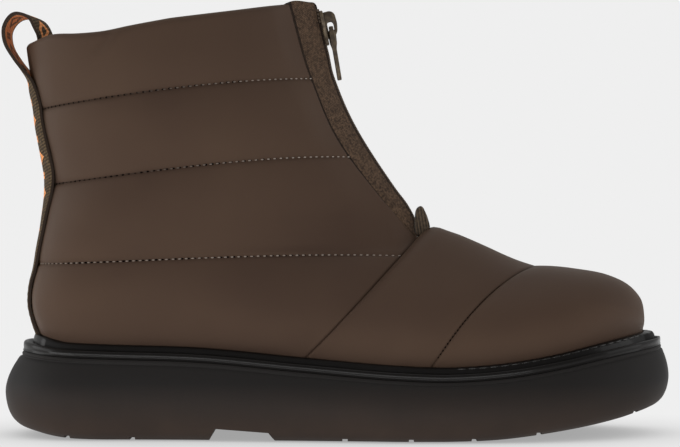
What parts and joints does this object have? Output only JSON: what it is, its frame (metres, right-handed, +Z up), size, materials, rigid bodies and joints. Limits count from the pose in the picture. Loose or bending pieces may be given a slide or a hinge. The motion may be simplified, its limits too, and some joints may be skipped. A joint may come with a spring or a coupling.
{
  "type": "puffer boot",
  "caption": "Quilted padded ankle boot with a front zip, chunky moulded sole with a glossy welt, and a webbing strip up the heel that ends in a pull loop.",
  "frame": {"origin": "centre of the boot's bounding box, on the floor under the sole", "axes": "+X towards the toe, +Y towards the inner side of the foot, +Z up"},
  "size_m": [0.2897, 0.1032, 0.1858],
  "materials": {
    "outsole": "matte moulded",
    "welt": "glossy",
    "insole": "soft lining",
    "upper": "satin padded nylon",
    "zip_tape_outer": "twill tape",
    "zip_tape_inner": "twill tape",
    "zip_chain": "satin",
    "zip_slider": "satin lacquer",
    "zip_pull": "satin lacquer",
    "zip_end_tab": "woven webbing",
    "heel_webbing": "woven webbing with orange motifs"
  },
  "bodies": {
    "boot": {"outsole": "outsole", "welt": "welt", "insole": "insole", "upper": "upper", "zip_tape_outer": "zip_tape_outer", "zip_tape_inner": "zip_tape_inner", "zip_chain": "zip_chain", "zip_slider": "zip_slider", "zip_end_tab": "zip_end_tab", "heel_webbing": "heel_webbing"},
    "zip_pull": {"zip_pull": "zip_pull"}
  },
  "joints": [
    {"name": "pull_swing", "type": "hinge", "parent": "boot", "child": "zip_pull", "pos_m": [-0.00146, 0, 0.17473], "axis": [0, -1, 0], "range_deg": [0, 150]}
  ]
}
